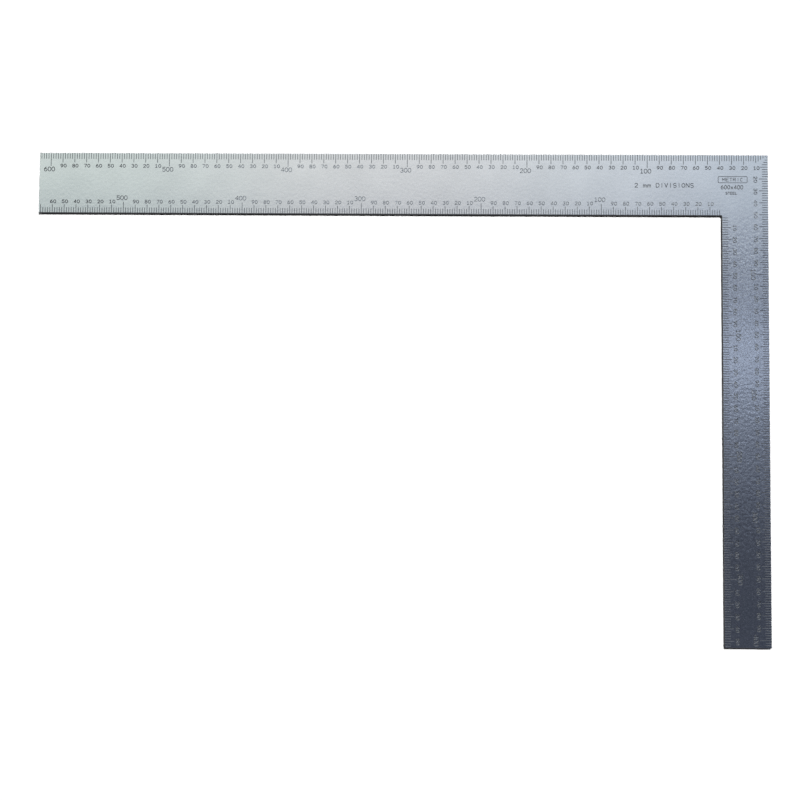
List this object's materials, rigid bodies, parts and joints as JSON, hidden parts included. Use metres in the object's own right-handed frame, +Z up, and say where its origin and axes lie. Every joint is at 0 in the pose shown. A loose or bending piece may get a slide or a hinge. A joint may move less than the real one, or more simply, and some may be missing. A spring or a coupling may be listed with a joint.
{
  "type": "steel square",
  "caption": "Flat L-shaped steel square: a wide blade and a narrower tongue at a right angle, with millimetre scales stamped along the outer and inner edges for measuring and laying out.",
  "frame": {"origin": "under the middle of the L's bounding box, on the plane that the plate lies on", "axes": "+X along the blade from its free end to the heel, +Y across the blade from its inner to its outer edge, +Z up out of the graduated face"},
  "size_m": [0.6096, 0.4064, 0.0024],
  "materials": {
    "steel": "bare satin steel with a fine short grain along each arm, stamped graduations left unfilled"
  },
  "bodies": {
    "root": {"square_plate": "steel"}
  },
  "joints": []
}
